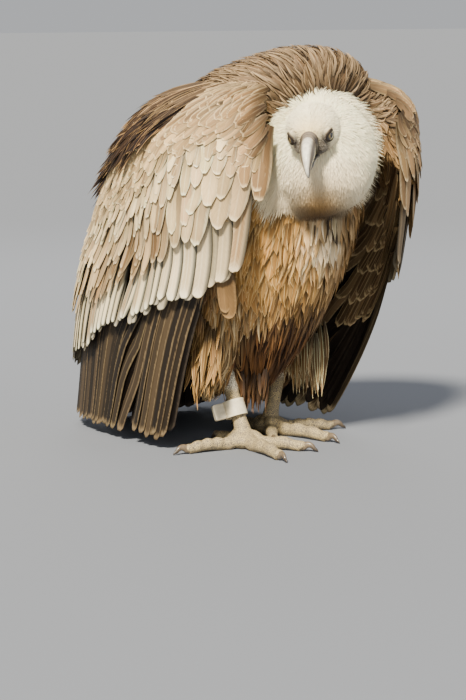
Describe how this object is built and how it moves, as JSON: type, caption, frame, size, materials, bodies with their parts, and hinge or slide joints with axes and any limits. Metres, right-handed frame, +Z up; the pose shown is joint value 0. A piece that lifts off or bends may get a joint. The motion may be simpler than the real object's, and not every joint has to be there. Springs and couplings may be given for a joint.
{
  "type": "griffon vulture model",
  "caption": "Life-size still model of a hunched griffon vulture, wings hanging like a cloak, head turned, standing on a flat floor with a plain leg ring.",
  "frame": {"origin": "on the floor under the middle of the bird's bounding box, between and just behind the feet", "axes": "+Z up, -Y the way the breast faces, -X the bird's right side, where the leg ring is"},
  "size_m": [0.5327, 0.6969, 0.669],
  "materials": {
    "mantle_brown": "soft brown body plumage, matt",
    "covert_buff": "buff scaly wing coverts, matt",
    "covert_cream": "cream greater coverts, matt",
    "flight_black": "brownish black flight and tail feathers, low sheen",
    "down_white": "cream white down, soft and matt",
    "bill_horn": "pale grey horn, half gloss",
    "cere_slate": "dark slate skin, slight sheen",
    "eye_amber": "wet amber brown eye, glossy",
    "thigh_tawny": "tawny thigh plumes, matt",
    "leg_grey": "grey buff scaly skin, matt",
    "claw_dark": "dark horn claws, half gloss",
    "band_cream": "cream plastic, worn matt"
  },
  "bodies": {
    "root": {"bill_lower": "bill_horn", "bill_upper": "bill_horn", "cere": "cere_slate", "claw_left_hind": "claw_dark", "claw_left_inner": "claw_dark", "claw_left_middle": "claw_dark", "claw_left_outer": "claw_dark", "claw_right_hind": "claw_dark", "claw_right_inner": "claw_dark", "claw_right_middle": "claw_dark", "claw_right_outer": "claw_dark", "eye_left": "eye_amber", "eye_right": "eye_amber", "foot_left": "leg_grey", "foot_right": "leg_grey", "head": "down_white", "leg_band": "band_cream", "leg_band_tab": "band_cream", "neck": "down_white", "tail": "flight_black", "tarsus_left": "leg_grey", "tarsus_right": "leg_grey", "thigh_left": "thigh_tawny", "thigh_right": "thigh_tawny", "toe_left_hind": "leg_grey", "toe_left_inner": "leg_grey", "toe_left_middle": "leg_grey", "toe_left_outer": "leg_grey", "toe_right_hind": "leg_grey", "toe_right_inner": "leg_grey", "toe_right_middle": "leg_grey", "toe_right_outer": "leg_grey", "trunk": "mantle_brown", "wing_left_coverts": "covert_cream", "wing_left_primaries": "flight_black", "wing_left_scapulars": "mantle_brown", "wing_left_secondaries": "flight_black", "wing_left_shoulder": "covert_buff", "wing_left_tertials": "flight_black", "wing_right_coverts": "covert_cream", "wing_right_primaries": "flight_black", "wing_right_scapulars": "mantle_brown", "wing_right_secondaries": "flight_black", "wing_right_shoulder": "covert_buff", "wing_right_tertials": "flight_black"}
  },
  "joints": []
}
